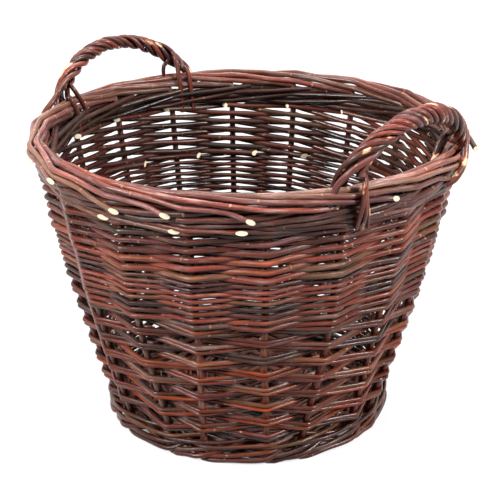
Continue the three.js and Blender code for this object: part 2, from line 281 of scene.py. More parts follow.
# %% A socket that can be used in sums
class Wire:
    def __init__(self, nodes, socket):
        self.nodes, self.socket = nodes, socket

    def __add__(self, other):
        return self.nodes.maths("ADD", self, other)

    def __sub__(self, other):
        return self.nodes.maths("SUBTRACT", self, other)

    def __rsub__(self, other):
        return self.nodes.maths("SUBTRACT", other, self)

    def __mul__(self, other):
        return self.nodes.maths("MULTIPLY", self, other)

    def __truediv__(self, other):
        return self.nodes.maths("DIVIDE", self, other)

    __radd__ = __add__
    __rmul__ = __mul__

    def put_through(self, operation):
        return self.nodes.maths(operation, self)

    def clipped(self):
        return self.nodes.maths("ADD", self, 0.0, clamp=True)

    def over(self, low, high):
        return self.nodes.maths("MULTIPLY", self - low, 1 / (high - low), clamp=True)


# %% [markdown]
# A second class makes and links nodes, of a material or of the world. Its noise
# can be finer across a rod than along it, as the streaks of bark are.

# %% Nodes made and linked
class Nodes:
    def __init__(self, tree):
        self.tree = tree

    def node(self, kind, settings=None, inputs=None, output=0):
        made = self.tree.nodes.new(kind)
        for key, value in (settings or {}).items():
            if key == "stops":
                self.stops(made.color_ramp, value)
            else:
                setattr(made, key, value)
        for key, value in (inputs or {}).items():
            self.feed(made.inputs[key], value)
        return Wire(self, made.outputs[output])

    def stops(self, ramp, stops):
        while len(ramp.elements) < len(stops):
            ramp.elements.new(0.5)
        for element, (place, tint) in zip(ramp.elements, stops):
            element.position, element.color = place, tint

    def feed(self, socket, value):
        if isinstance(value, Wire):
            self.tree.links.new(value.socket, socket)
        else:
            socket.default_value = value

    def maths(self, operation, *values, clamp=False):
        settings = {"operation": operation, "use_clamp": clamp}
        return self.node("ShaderNodeMath", settings, dict(enumerate(values)))

    def noise(self, vector, fineness, detail=3.0, roughness=0.6):
        stretched = self.node(
            "ShaderNodeVectorMath", {"operation": "MULTIPLY"}, {0: vector, 1: fineness}
        )
        inputs = {"Vector": stretched, "Scale": 1.0, "Detail": detail, "Roughness": roughness}
        return self.node("ShaderNodeTexNoise", None, inputs)

    def split(self, vector):
        parts = self.node("ShaderNodeSeparateXYZ", None, {0: vector}).socket.node.outputs
        return [Wire(self, part) for part in parts]

    def mix(self, share, first, second):
        inputs = {0: share, 6: first, 7: second}
        return self.node("ShaderNodeMix", {"data_type": "RGBA"}, inputs, output=2)

    def attribute(self, name, output=1):
        return self.node("ShaderNodeAttribute", {"attribute_name": name}, None, output)

    def object_place(self):
        return self.node("ShaderNodeTexCoord", output=3)


# %% A material and a colour
class Finish(Nodes):
    def __init__(self, name):
        self.material = bpy.data.materials.new(name)
        self.material.use_nodes = True
        super().__init__(self.material.node_tree)
        self.shader = self.tree.nodes["Principled BSDF"]

    def surface(self, base_color, roughness, specular=0.5, relief=None):
        self.feed(self.shader.inputs["Base Color"], base_color)
        self.feed(self.shader.inputs["Roughness"], roughness)
        self.feed(self.shader.inputs["Specular IOR Level"], specular)
        if relief:
            bump = self.node("ShaderNodeBump", None, relief)
            self.feed(self.shader.inputs["Normal"], bump)


def colour(red, green, blue):
    linear = (
        c / 12.92 if c <= 0.04045 else ((c + 0.055) / 1.055) ** 2.4
        for c in (red / 255, green / 255, blue / 255)
    )
    return (*linear, 1.0)


# %% [markdown]
# The patterns of the bark are noises stretched along the rod. Their fineness is
# given along the rod and across it, in waves per metre. A bud scar sits on one
# side of its rod, and the next one is turned from it, as the leaves were.

# %% Patterns along a rod
SLOW, STREAKS, PATCHES = (9, 60, 60), (26, 1500, 1500), (38, 260, 260)
PORES, TEARS, FIBRES = (420, 1400, 1400), (40, 70, 70), (900, 2600, 2600)
BUD_SPACING, BUD_HALF, BUD_TURN = 0.052, 0.0016, 2.4
BUD_SIDE = (1.5, 2.3)


def bud_scars(finish, grain, light, worn):
    along, side, height = finish.split(grain)
    place = along / BUD_SPACING + light * 7
    number = place.put_through("FLOOR")
    from_bud = (place - number - 0.5).put_through("ABSOLUTE")
    near = 1 - (from_bud * (BUD_SPACING / BUD_HALF)).clipped()
    turned = number * BUD_TURN + worn * 6.0
    facing = side * turned.put_through("COSINE") + height * turned.put_through("SINE")
    return near * (facing / MM).over(*BUD_SIDE)


# %% [markdown]
# A rod's hue picks one of its bark's tones. Its light, the second chance
# number, makes it brighter or darker. Skin that faces inward lies in the
# crevices of the weave and is painted dark there, a painted shade. The bark is
# darker and richer in colour toward the foot, and at the border's height it
# gets a painted light, which makes most barks lighter.

# %% The bark
SUNNED, STREAK, BLOOM = colour(142, 78, 54), colour(38, 18, 17), colour(142, 118, 110)
PORE, SCAR = colour(168, 128, 98), colour(172, 124, 92)
TORN, BARE = colour(186, 116, 78), colour(234, 200, 164)
FOOT_BRIGHTNESS, DARKENING_TOP = 0.5, 0.08
CREVICE_SHADE_RAMP = 0.9
RIM_LIGHT_FROM, RIM_LIGHT_TO = 0.270, 0.290
RICH_FOOT, RICH_RIM, BASKET_TOP = 1.18, 0.98, 0.3


# Painted shade in the crevices, painted light at the border, and a darker, richer foot.
def painted_light_and_shade(finish, skin, light, crevice_shade, crevice_shade_from, rim):
    # Painted shade: skin that faces the basket's axis or a rope's core, in the crevices, is
    # darkened.
    crevice_shade_mask = finish.attribute("inner", output=2).over(crevice_shade_from, crevice_shade_from + CREVICE_SHADE_RAMP)
    height = finish.split(finish.object_place())[2]
    # Darker toward the bottom: the bark's value falls to half at the floor, over its lowest 80 mm.
    darker_toward_foot = height.over(0.0, DARKENING_TOP) * (1 - FOOT_BRIGHTNESS) + FOOT_BRIGHTNESS
    # Painted light: the bark from 270 to 290 mm up, at the border, is made lighter by each bark's
    # own share.
    painted_rim_light = height.over(RIM_LIGHT_FROM, RIM_LIGHT_TO) * rim + 1.0
    value = (light + 0.5) * (1 - crevice_shade_mask * crevice_shade) * darker_toward_foot * painted_rim_light
    richness = RICH_FOOT - height.over(0.0, BASKET_TOP) * (RICH_FOOT - RICH_RIM)
    inputs = {"Saturation": richness, "Value": value, "Color": skin}
    return finish.node("ShaderNodeHueSaturation", None, inputs)


def bark_finish(name, tones, bloom, gloss, crevice_shade=0.0, crevice_shade_from=-0.7, rim=0.0, peeled=False):
    finish = Finish(name)
    grain = finish.attribute("grain")
    hue, light, worn = finish.split(finish.attribute("tone"))
    stops = [((i + 0.5) / len(tones), tone) for i, tone in enumerate(tones)]
    base = finish.node("ShaderNodeValToRGB", {"stops": stops}, {0: hue})
    slow = finish.noise(grain, SLOW, 2.0, 0.5)
    streaks, patches = finish.noise(grain, STREAKS), finish.noise(grain, PATCHES)
    fine = finish.noise(grain, PORES, 2.0)
    pores, bud = fine.over(0.66, 0.74), bud_scars(finish, grain, light, worn)
    skin = finish.mix(slow.over(0.42, 0.68) * 0.5, base, SUNNED)
    skin = finish.mix(streaks.over(0.4, 0.64) * 0.8, skin, STREAK)
    skin = finish.mix(patches.over(0.52, 0.72) * bloom, skin, BLOOM)
    skin = finish.mix(pores * 0.4, skin, PORE)
    skin = finish.mix(bud.over(0.2, 0.6) * 0.6, skin, SCAR)
    skin = painted_light_and_shade(finish, skin, light, crevice_shade, crevice_shade_from, rim)
    if peeled:
        torn = finish.noise(grain, TEARS, 3.0, 0.55)
        skin = finish.mix(torn.over(0.585, 0.61) * worn.over(0.1, 0.3), skin, TORN)
        skin = finish.mix(torn.over(0.61, 0.635) * worn.over(0.1, 0.3), skin, BARE)
    rough = patches * 0.2 + (gloss - 0.08) + pores * 0.15
    height_map = streaks * 0.5 + bud * 1.6 + fine * 0.35
    relief = {"Strength": 0.5, "Distance": 0.0006, "Height": height_map}
    finish.surface(skin, rough, 0.26, relief)
    return finish.material


# %% [markdown]
# A cut shows cream wood with fine fibres, darker toward the bark.

# %% Cut wood
CREAM, STRAW, CUT_EDGE = colour(255, 242, 212), colour(246, 222, 180), colour(206, 158, 112)
CUT_EDGE_AT = (2.3, 3.1)


def pith_finish(name):
    finish = Finish(name)
    grain = finish.attribute("grain")
    _, side, height = finish.split(grain)
    reach = (side * side + height * height).put_through("SQRT") / MM
    fibres = finish.noise(grain, FIBRES)
    wood = finish.mix(fibres.over(0.35, 0.75), CREAM, STRAW)
    wood = finish.mix(reach.over(*CUT_EDGE_AT) * 0.35, wood, CUT_EDGE)
    relief = {"Strength": 0.4, "Distance": 0.0003, "Height": fibres}
    finish.surface(wood, fibres * 0.2 + 0.55, relief=relief)
    return finish.material


# %% Five barks and the cut wood
RED, LIVER, PURPLE = colour(134, 56, 44), colour(110, 51, 39), colour(106, 57, 57)
GREY, OLIVE, RUST = colour(104, 78, 68), colour(104, 72, 48), colour(146, 72, 48)
DARK, TAN = colour(62, 32, 28), colour(150, 104, 78)
weaver_bark = bark_finish(
    "weaver_bark",
    [DARK, LIVER, PURPLE, RED, LIVER, RED, RUST, GREY, DARK, OLIVE, LIVER],
    bloom=0.48, gloss=0.22, crevice_shade=0.64, rim=0.1,
)
stake_bark = bark_finish(
    "stake_bark",
    [LIVER, TAN, GREY, TAN, PURPLE, GREY, LIVER, RED],
    bloom=0.62, gloss=0.23, crevice_shade=0.5, crevice_shade_from=-0.1, rim=0.84,
)
wale_bark = bark_finish(
    "wale_bark", [DARK, LIVER, GREY, DARK, LIVER, PURPLE, OLIVE], bloom=0.42, gloss=0.26, crevice_shade=0.7
)
base_bark = bark_finish("base_bark", [DARK, GREY, LIVER, OLIVE], bloom=0.5, gloss=0.5)
handle_bark = bark_finish(
    "handle_bark",
    [RED, LIVER, RED, LIVER, RED, DARK, PURPLE],
    bloom=0.4, gloss=0.24, crevice_shade=0.75, crevice_shade_from=-0.6, rim=-0.06, peeled=True,
)
cut_willow = pith_finish("cut_willow")
print("finishes", len(bpy.data.materials))


# %% [markdown]
# ## Placing a finished piece
#
# A piece gathers its rods in one mesh, takes a bark and the cut wood as its two
# materials, rides on the basket's only body and hides the CAD rods it stands
# for.

# %% From rods to a piece
def place(name, rods, bark, slot, *nodes):
    mesh = bpy.data.meshes.new(name)
    rods.to_mesh(mesh)
    rods.free()
    mesh.materials.append(bark)
    mesh.materials.append(cut_willow)
    made = bpy.data.objects.new(name, mesh)
    bpy.context.collection.objects.link(made)
    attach(made, "root")
    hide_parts(*nodes)
    print(name, len(mesh.vertices), "vertices")


def label(number):
    return f"{number:02d}"


# %% [markdown]
# ## Stakes and border
#
# Eighteen rods are pushed into the base in pairs, pricked up at the foot and
# stand as the wall's uprights. At the rim each is kinked over, passes the next
# six stakes while it winds once round its neighbours, and ends outside under
# the border with a long slanting cut. The border is these ends and nothing
# else, so a stake and its border rod are one piece. A wavy ring of its own,
# turned eighteen times, would be quicker, but its rods would start nowhere.
#
# The ends on the side that the photograph shows each have a place of their own:
# degrees on, millimetres out and millimetres up from where they would be by
# rule. The others stray by chance.

# %% The line of a stake
STAKE_ROOT, ROOT_OFFSET, FOOT_BEND, RIM_BEND = 96.0, 7.6, 16.0, 13.0
EVEN_HEIGHTS = (170, 215, 255, WALL_LENGTH - RIM_BEND)
BORDER_REACH, TAIL_SHORT, TAIL_RADIUS, TAIL_HEIGHT = 6, 3.5, 219.6, 286.6
TAIL_MOVES = {
    7: (1.3, 0, 3), 8: (5.2, 0, -3.6), 9: (-0.9, 0, 1.4),
    10: (-0.8, 0, 0.2), 11: (1, -7, 6), 12: (-3.8, 0, 5.6),
}


def leg_point(k, share):
    middle = STEP * (k + (-0.5 if k % 2 else 0.5))
    side = 90 if k % 2 else -90
    root = spot(STAKE_ROOT, middle) + spot(ROOT_OFFSET, middle + side)
    point = root.lerp(spot(FOOT_RADIUS, stake_azimuth(k, 0)), share)
    return Vector((point.x, point.y, dome_height(point.length)))


def upright_line(k):
    root, foot = leg_point(k, 0), leg_point(k, 1)
    low = leg_point(k, 1 - FOOT_BEND / (foot - root).length)
    above = wall_point(FOOT_BEND, stake_azimuth(k, FOOT_BEND))
    foot_turn = [low.lerp(foot, 0.65), foot.lerp(above, 0.28)]
    heights = (FOOT_BEND, 45, 85, PULL_HEIGHT, *EVEN_HEIGHTS)
    wall = [wall_point(along, stake_azimuth(k, along)) for along in heights]
    return flowing([root, low, *foot_turn, *wall], 8.0)


def tail_point(k, top, chance):
    if k in TAIL_MOVES:
        turned, out, up = TAIL_MOVES[k]
    else:
        turned, out, up = chance.uniform(-3, 2), chance.uniform(-1.5, 0.8), chance.uniform(-2, 4)
    end = top + BORDER_REACH * STEP - TAIL_SHORT
    return spot(TAIL_RADIUS + out, end + turned, TAIL_HEIGHT + up)


# %% [markdown]
# Only the border strays. The uprights stay true, because the weave passes them
# closely.

# %% Eighteen stakes
STAKE_BUTT, STAKE_TIP, TAIL_SLANT = 3.7, 2.5, 1.8
OUTER_WIND = (0.0, 0.0, 0.2, 0.6, 1.0, 1.2)
TUCK_PAST, TUCK_WIND, TUCK_AHEAD = 110.5, 7.4, -20.0
for k in range(STAKES):
    chance = random.Random(1000 + k)
    upright, top = upright_line(k), stake_azimuth(k, WALL_LENGTH)
    border = []
    for i, wider in enumerate(OUTER_WIND):
        wind = WIND + wider + chance.uniform(-0.9, 0.9)
        border.append(border_point(top, STEP * i, wind, chance.uniform(-7, 7)))
    border.append(border_point(top, TUCK_PAST, TUCK_WIND, TUCK_AHEAD))
    tail = tail_point(k, top, chance)
    rim = kinked([upright[-1], *border, tail], arm=4.0, spacing=11.0)
    line = upright[:-1] + wander(rim, chance, 0.5, 0.4)
    line[len(upright) - 1] = upright[-1]
    cuts = (None, outward_and_up(tail))
    rods = bmesh.new()
    add_rod(rods, line, STAKE_BUTT, STAKE_TIP, chance, 12, cuts, TAIL_SLANT)
    place(f"stake_rod_{label(k + 1)}", rods, stake_bark, "stake_bark", f"stake_{label(k + 1)}")


# %% [markdown]
# ## Wales
#
# Three rods twined together hold the stakes apart at the foot and under the
# border: each goes in front of two stakes and behind one. The foot wale lies
# under the bend of the stakes and carries the basket, so it is thick and its
# rods run in long easy arcs. Two thinner rounds lie on it up the wall. The rim
# wale is bent more sharply and has a second, thinner round below it.
#
# A wale's sizes are how far its rods lie in front of the stakes' circle, behind
# it and between two stakes, how far an outer rod bulges between its two stakes,
# and how far its rods rise and fall. A round on the wall also has its height
# along the wall and its thickness at both ends. Sine waves round a circle would
# do for evenly spaced stakes. These stand in pairs at the foot, so a rod's line
# is built from a place at each stake and one halfway to the next.

# %% Sizes and stations of a wale
FOOT_WALE = {"lift": 3.76, "front": 14.216, "behind": 11.808, "middle": 1.204, "bulge": 0.3}
SECOND_FOOT = {
    "lift": 2.9, "front": 6.9, "behind": 6.2, "middle": 0.2, "bulge": 1.6,
    "along": 2.5, "butt": 2.75, "tip": 2.5,
}
THIRD_FOOT = {
    "lift": 2.2, "front": 5.8, "behind": 5.8, "middle": 0.2, "bulge": 1.0,
    "along": 12.0, "butt": 2.2, "tip": 2.0,
}
RIM_WALE = {
    "lift": 3.2, "front": 7.2, "behind": 6.7, "middle": 0.23, "bulge": 0.9,
    "along": 285.2, "butt": 3.2, "tip": 3.0,
}
SECOND_RIM = {
    "lift": 2.3, "front": 6.4, "behind": 6.6, "middle": 0.2, "bulge": 0.6,
    "along": 278.4, "butt": 2.6, "tip": 2.4,
}


def wale_stations(first, sizes):
    along = sizes.get("along", 0)
    stations = []
    for i in range(2 * STAKES + 1):
        turn, phase = first + i // 2, (i // 2) % 3
        here, after = stake_azimuth(turn, along), stake_azimuth(turn + 1, along)
        if i % 2 == 0:
            out = (-sizes["behind"], sizes["front"], sizes["front"])[phase]
            stations.append((here, out, (0, -sizes["lift"], sizes["lift"])[phase]))
        else:
            out = (sizes["middle"], sizes["front"] + sizes["bulge"], sizes["middle"])[phase]
            stations.append(((here + after) / 2, out, (-sizes["lift"], 0, sizes["lift"])[phase]))
    return stations


def wall_round(first, sizes):
    stations = wale_stations(first, sizes)
    return [wall_point(sizes["along"] + up, azimuth, out) for azimuth, out, up in stations]


# %% [markdown]
# The foot wale lies in the corner under the stakes' bend, so its stations lean
# by 45 degrees. Its underside is worn flat on the ground: a plane cuts the mesh
# and the open edges are filled.

# %% Foot wale
FOOT_MIDDLE_RADIUS, FOOT_MIDDLE_HEIGHT, FOOT_LEAN = 135.045, 15.2, math.sqrt(0.5)
FOOT_BUTT, FOOT_TIP = 3.15, 2.75


def foot_spot(azimuth, out, up):
    radius = FOOT_MIDDLE_RADIUS + (out + up) * FOOT_LEAN
    return spot(radius, azimuth, FOOT_MIDDLE_HEIGHT + (up - out) * FOOT_LEAN)


def flattened(rods):
    everything = rods.verts[:] + rods.edges[:] + rods.faces[:]
    bmesh.ops.bisect_plane(
        rods, geom=everything, plane_co=(0, 0, 0), plane_no=(0, 0, 1), clear_inner=True
    )
    open_edges = [e for e in rods.edges if e.is_boundary]
    bmesh.ops.holes_fill(rods, edges=open_edges, sides=0)


for i in range(3):
    chance = random.Random(2000 + i)
    rods = bmesh.new()
    points = [foot_spot(*station) for station in wale_stations(i, FOOT_WALE)]
    line = wander(flowing(points, 7.0), chance, 0.5, 0.4)
    add_rod(rods, line, FOOT_BUTT, FOOT_TIP, chance, 12)
    flattened(rods)
    for first, sizes in ((i + 1, SECOND_FOOT), (i + 2, THIRD_FOOT)):
        line = wander(flowing(wall_round(first, sizes), 7.0), chance, 0.7, 0.4)
        add_rod(rods, line, sizes["butt"], sizes["tip"], chance, 12)
    name = f"foot_wale_{label(i + 1)}"
    place(f"foot_wale_rod_{label(i + 1)}", rods, wale_bark, "wale_bark", name)

# %% Rim wale
for i in range(3):
    chance = random.Random(2100 + i)
    rods = bmesh.new()
    for first, sizes, sides in ((i + 1, RIM_WALE, 12), (i + 2, SECOND_RIM, 10)):
        line = wander(kinked(wall_round(first, sizes), 4.0, 9.0), chance, 0.5, 0.3)
        add_rod(rods, line, sizes["butt"], sizes["tip"], chance, sides)
    name = f"rim_wale_{label(i + 1)}"
    place(f"rim_wale_rod_{label(i + 1)}", rods, wale_bark, "wale_bark", name)

# %% [markdown]
# Under the rim wale eighteen short rods line the wall. Each starts inside,
# climbs behind two stakes, comes out in front of the next two and ends under
# the border with a long slanting cut. In front, a few of the cuts have a place
# of their own, as in the photograph, and a few are tucked in out of sight. One
# more rod sticks out beyond the right handle: a border rod's stray end.

# %% Eighteen liners and a stray end
LINER_ALONG, LINER_BUTT, LINER_TIP, LINER_SLANT = 271.8, 2.75, 2.25, 2.4
LINER_STATIONS = ((-2.3, -4.5, 18), (-1, -6.4, 10.5), (0, -6.4, 1.0), (1, 7.0, 3.8), (2, 7.4, 0))
LINER_REACH, LINER_SHORT, LINER_DROP = 3, 3.2, 3.4
LINER_MOVES = {11: (-0.3, 1.5), 12: (0.1, 1.0), 13: (-3.2, 4.4)}
LINERS_TUCKED, TUCKED_OUT, LINER_OUT = (10, 14, 15, 16), 1.0, 8.6
STRAY = ((72, 217, 304), (60, 217, 303.5), (49, 217.5, 303), (39, 221.5, 302.5), (30, 230, 302))
rods = bmesh.new()
chance = random.Random(2200)
for k in range(STAKES):
    points = []
    for turn, out, up in LINER_STATIONS:
        along = LINER_ALONG + up + chance.uniform(-0.5, 0.5)
        points.append(wall_point(along, STEP * (k + turn), out))
    turned, up = LINER_MOVES.get(k, (chance.uniform(-2.5, 1.0), chance.uniform(-1, 2)))
    end = STEP * (k + LINER_REACH) - LINER_SHORT + turned
    out = TUCKED_OUT if k in LINERS_TUCKED else LINER_OUT
    points.append(wall_point(LINER_ALONG - LINER_DROP + up, end, out))
    line = wander(kinked(points, 3.5, 11.0), chance, 0.4, 0.2)
    cuts = (None, outward_and_up(points[-1]))
    add_rod(rods, line, LINER_BUTT, LINER_TIP, chance, 12, cuts, LINER_SLANT)
stray = [spot(radius, azimuth, height) for azimuth, radius, height in STRAY]
add_rod(rods, flowing(stray), 2.4, 2.9, chance, 12, (None, outward_at(stray[-1])), 0.6)
place("rim_liners", rods, wale_bark, "wale_bark", "row_27")


# %% [markdown]
# ## Rows of the lower wall
#
# Up to a little over half its height the wall is slewed: two rods together go
# in front of one stake and behind the next, and the row above does the
# opposite. Between two stakes a rod is straight, and it is kinked where it
# crosses a stake in front. Behind a stake it hardly bends. Each of the two is
# two rods long; a new one starts inside, behind a stake. Higher rows are
# pressed closer together. A cone with a woven relief would pass from afar, but
# here light falls through the gaps and the stakes show between the rods.

# %% Rows of doubled rods
ROWS, LOWER_ROWS = 27, 14
ROWS_FROM, ROWS_TO, ROW_TAPER = 17.862, 274.493, 0.78
LANES, LANE_SHIFT = (-0.23, 0.23), 4
ROW_BUTT, ROW_TIP = (2.15, 2.5), (1.85, 2.15)
ROW_PASSES, END_DEPTH = (8, 10), 4.4
shares = [1 + (ROW_TAPER - 1) * j / (ROWS - 1) for j in range(ROWS)]
pitches = [share / sum(shares) * (ROWS_TO - ROWS_FROM) for share in shares]
print("rows", round(pitches[0], 1), "to", round(pitches[-1], 1), "mm apart")


def row_along(j):
    return ROWS_FROM + sum(pitches[:j]) + pitches[j] / 2


def weave_corner(turn, along, radius, behind, deeper=0.0):
    clear = STAKE_RADIUS + radius + GAP
    return wall_point(along, stake_azimuth(turn, along), -clear - deeper if behind else clear)


def add_row_rod(rods, start, passes, along, chance):
    butt, tip = chance.uniform(*ROW_BUTT), chance.uniform(*ROW_TIP)
    corners = []
    for m in range(passes + 1):
        jittered = along + chance.uniform(-0.7, 0.7)
        deeper = END_DEPTH if m == passes else 0.0
        corners.append(weave_corner(start + m, jittered, butt, m % 2 == 0, deeper))
    lead = beyond(corners[0], corners[1], chance.uniform(6, 11))
    trail = beyond(corners[-1], corners[-2], chance.uniform(6, 12))
    line = wander(kinked([lead, *corners, trail]), chance, 0.6, 0.3)
    add_rod(rods, line, butt, tip, chance, cuts=(-outward_at(lead), -outward_at(trail)))


for j in range(LOWER_ROWS):
    chance = random.Random(3000 + j)
    rods = bmesh.new()
    for lane, level in enumerate(LANES):
        start = (5 * j + 1) % STAKES + LANE_SHIFT * lane
        for passes in ROW_PASSES:
            add_row_rod(rods, start, passes, row_along(j) + level * pitches[j], chance)
            start += passes
    place(f"row_rods_{label(j + 1)}", rods, weaver_bark, "weaver_bark", f"row_{label(j + 1)}")


# %% [markdown]
# ## The two bands of the upper wall
#
# The upper wall is woven another way, a French rand: eighteen rods start at
# once, one at each stake, butt inside. Each goes in front of one stake and
# behind the next at one level, and climbs to the next level before it comes to
# the front again. Worked in turn they rise as one band. A second band of fresh
# rods starts on top of the first. The ring of pale butts inside the wall is the
# line between the two.

# %% French rand
RAND_TURNED_IN, RAND_SLANT = 2.2, 1.1


def rand_band(name, heights, levels, taper, sizes, lead_length, seed, nodes):
    chance = random.Random(seed)
    rods = bmesh.new()
    parts = [1 + (taper - 1) * i / (levels - 1) for i in range(levels)]
    low, high = (wall_at(height) for height in heights)
    steps = [part / sum(parts) * (high - low) for part in parts]
    middles = [low + sum(steps[:i]) + steps[i] / 2 for i in range(levels)]
    passes = 2 * levels
    for k in range(STAKES):
        own = chance.uniform(0.9, 1.1)
        thick, thin = (size * own for size in sizes)
        corners = []
        for m in range(passes + 1):
            along = middles[(m - 1) // 2] if m else low - 0.1 * steps[0]
            radius = thick + (thin - thick) * (m / passes)
            jittered = along + chance.uniform(-0.45, 0.45)
            corners.append(weave_corner(k + m, jittered, radius, m % 2 == 0))
        lead = beyond(corners[0], corners[1], chance.uniform(*lead_length))
        lead -= outward_at(lead) * RAND_TURNED_IN
        trail = beyond(corners[-1], corners[-2], chance.uniform(5, 10))
        line = wander(kinked([lead, *corners, trail]), chance, 0.5, 0.25)
        cuts = (-outward_at(lead), -outward_at(trail))
        add_rod(rods, line, thick, thin, chance, 10, cuts, RAND_SLANT)
    place(name, rods, weaver_bark, "weaver_bark", *nodes)


rand_band(
    "rand_lower", heights=(165.3, 218.5), levels=8, taper=0.72, sizes=(2.6, 1.9),
    lead_length=(5, 9), seed=4000, nodes=[f"row_{label(j)}" for j in range(15, 21)],
)
rand_band(
    "rand_upper", heights=(218.8, 275.4), levels=6, taper=0.95, sizes=(3.3, 2.65),
    lead_length=(15, 25), seed=4100, nodes=[f"row_{label(j)}" for j in range(21, 27)],
)


# %% [markdown]
# ## Base
#
# Five thick sticks cross in the middle and fan out to nine ends. The base is
# domed, so that the basket stands on its foot wale alone. A flat disc would do
# for the photograph, which hides it, but not for a look in from above.

# %% Base sticks
STICK_ENDS, STICK_RADIUS, STICK_BUTT, STICK_TIP = 9, 4.0, 4.05, 3.85
STICK_REACH, FAN_RADIUS, SLATH_RADIUS = 126.0, 36.0, 16.0
STICK_PITCH = 2 * STICK_RADIUS + GAP
SLATH_END = SLATH_RADIUS + STICK_PITCH / 2


def end_azimuth(i):
    return STEP * (2 * i + 0.5)


def fan_points(azimuth):
    radii = [STICK_REACH + (FAN_RADIUS - STICK_REACH) * i / 3 for i in range(4)]
    return [spot(radius, azimuth, dome_height(radius)) for radius in radii]


STICKS = (
    (0, (SLATH_END, 0.5), (-SLATH_END, 0.5), 4, -1),
    (8, (SLATH_END, -0.5), (-SLATH_END, -0.5), 5, -1),
    (3, (-1, SLATH_END), (-1, -SLATH_END), 6, 1),
    (1, (1, SLATH_END), (1, -SLATH_END), 7, 1),
    (2, (0, SLATH_END), (0, -SLATH_END), None, 1),
)
for i, (start, near, far, end, level) in enumerate(STICKS):
    chance = random.Random(5000 + i)
    height = dome_height(0) + level * STICK_PITCH / 2
    lanes = [
        Vector((x, y * STICK_PITCH, height) if level < 0 else (x * STICK_PITCH, y, height))
        for x, y in (near, far)
    ]
    points = fan_points(end_azimuth(start)) + lanes
    if end is not None:
        points += fan_points(end_azimuth(end))[::-1]
    rods = bmesh.new()
    add_rod(rods, kinked(points, 8.0, 9.0), STICK_BUTT, STICK_TIP, chance, 12)
    place(f"base_rod_{i + 1}", rods, base_bark, "base_bark", f"base_stick_{i + 1}")

# %% [markdown]
# A doubled rod goes over one stick's end and under the next, round and round.
# Where the stakes' roots lie beside the sticks it passes them together with
# their stick. A closing pair of rods then goes round outside the sticks' tips,
# over and under the stakes alone, and shuts the base against the wall. A last
# thin rod ties the cross in the middle, over two bundles of sticks and under
# the two between.

# %% Lines of the base weave
WEAVE_START, WEAVE_END, WEAVE_TURNS = 43.0, 129.6, 9
WEAVE_PITCH, WEAVE_LIFT = (WEAVE_END - WEAVE_START) / WEAVE_TURNS, STICK_RADIUS + 2.3 + GAP
CLOSING_RADIUS, CLOSING_LIFT = 130.8, 5.4
TIE_START, TIE_PITCH, TIE_TURNS, TIE_POINTS, TIE_LIFT = 21.0, 3.7, 6, 18, STICK_RADIUS + 2.1


def leg_at(k, radius):
    share = (radius - STAKE_ROOT) / (FOOT_RADIUS - STAKE_ROOT)
    leg = leg_point(k, max(0.0, share))
    return math.degrees(math.atan2(leg.y, leg.x))


def weave_points(lane):
    points = []
    for i in range(WEAVE_TURNS * STICK_ENDS + 1):
        azimuth = end_azimuth(i)
        radius = WEAVE_START + WEAVE_PITCH * (azimuth - end_azimuth(0)) / 360
        spread = 0.0
        if radius > STAKE_ROOT - WEAVE_PITCH / 2:
            spread = abs(leg_at(1, radius) - end_azimuth(0))
        at = radius + lane * WEAVE_PITCH
        height = dome_height(at) + WEAVE_LIFT * (1 if i % 2 else -1)
        for turned in ([-spread, 0.0, spread] if spread else [0.0]):
            points.append(spot(at, azimuth + turned, height))
    return points


def closing_points(side):
    points = []
    for k in range(STAKES + 1):
        lift = CLOSING_LIFT * side * (1 if k % 2 else -1)
        azimuth = leg_at(k % STAKES, CLOSING_RADIUS)
        points.append(spot(CLOSING_RADIUS, azimuth, dome_height(CLOSING_RADIUS) + lift))
    return points


def tie_points():
    points = []
    for i in range(TIE_TURNS * TIE_POINTS + 1):
        turn = i / TIE_POINTS
        radius, azimuth = TIE_START + TIE_PITCH * turn, 45 + 360 * turn
        side = 1 if int(turn) % 2 == 0 else -1
        fade = max(0.0, (FAN_RADIUS - radius) / (FAN_RADIUS - SLATH_RADIUS))
        swing = TIE_LIFT - side * fade * STICK_PITCH / 2
        wave = math.cos(math.radians(2 * azimuth)) * side
        points.append(spot(radius, azimuth, dome_height(radius) + swing * wave))
    return points


# %% Base weave
WEAVE_SIZES, CLOSING_SIZES, TIE_SIZES = (2.15, 2.05), (2.3, 2.1), (1.75, 1.7)
rods = bmesh.new()
chance = random.Random(5100)
for lane in (-0.25, 0.25):
    add_rod(rods, kinked(weave_points(lane), 4.0, 9.0), *WEAVE_SIZES, chance, 8)
for side in (-1, 1):
    line = wander(flowing(closing_points(side), 6.0), chance, 0.6, 0.8)
    add_rod(rods, line, *CLOSING_SIZES, chance, 8)
add_rod(rods, flowing(tie_points(), 6.0), *TIE_SIZES, chance, 8)
place("base_weave_rods", rods, base_bark, "base_bark", "base_weave")


# %% [markdown]
# ## Roped handles
#
# Each handle is a bow with thinner rods wound round it like the strands of a
# rope. At its feet the strands part: some run over the border outside, some
# inside, and all are tucked in under the wale. A strand is one rod from one
# tucked end over the arch to the other, so it is drawn as one line: down, over
# the border, round the rope, and down again.
#
# The bow rises from the border on half an ellipse, squared by its shape. It
# leans outward, its top is skewed to one side and its legs sway. Blender's
# Screw modifier can wind a rope, but couldn't let its strands part.

# %% The line of a handle
HANDLE_FOOT, PLUNGE = 303.0, 26.0


def handle_axis(handle, t):
    share = max(0.0, math.sin(t)) ** handle["shape"]
    azimuth = handle["azimuth"] + handle["foot"] * math.cos(t)
    azimuth += handle["skew"] * share + handle["sway"] * math.sin(2 * t)
    radius = RIM_RADIUS + handle["lean"] * share
    return spot(radius, azimuth, HANDLE_FOOT + handle["rise"] * share)


def tied_end(path, start, ahead):
    if path is None:
        return [start + ahead * PLUNGE * 0.4, start + ahead * PLUNGE]
    return [spot(RIM_RADIUS + out, azimuth, height) for azimuth, out, height in path]


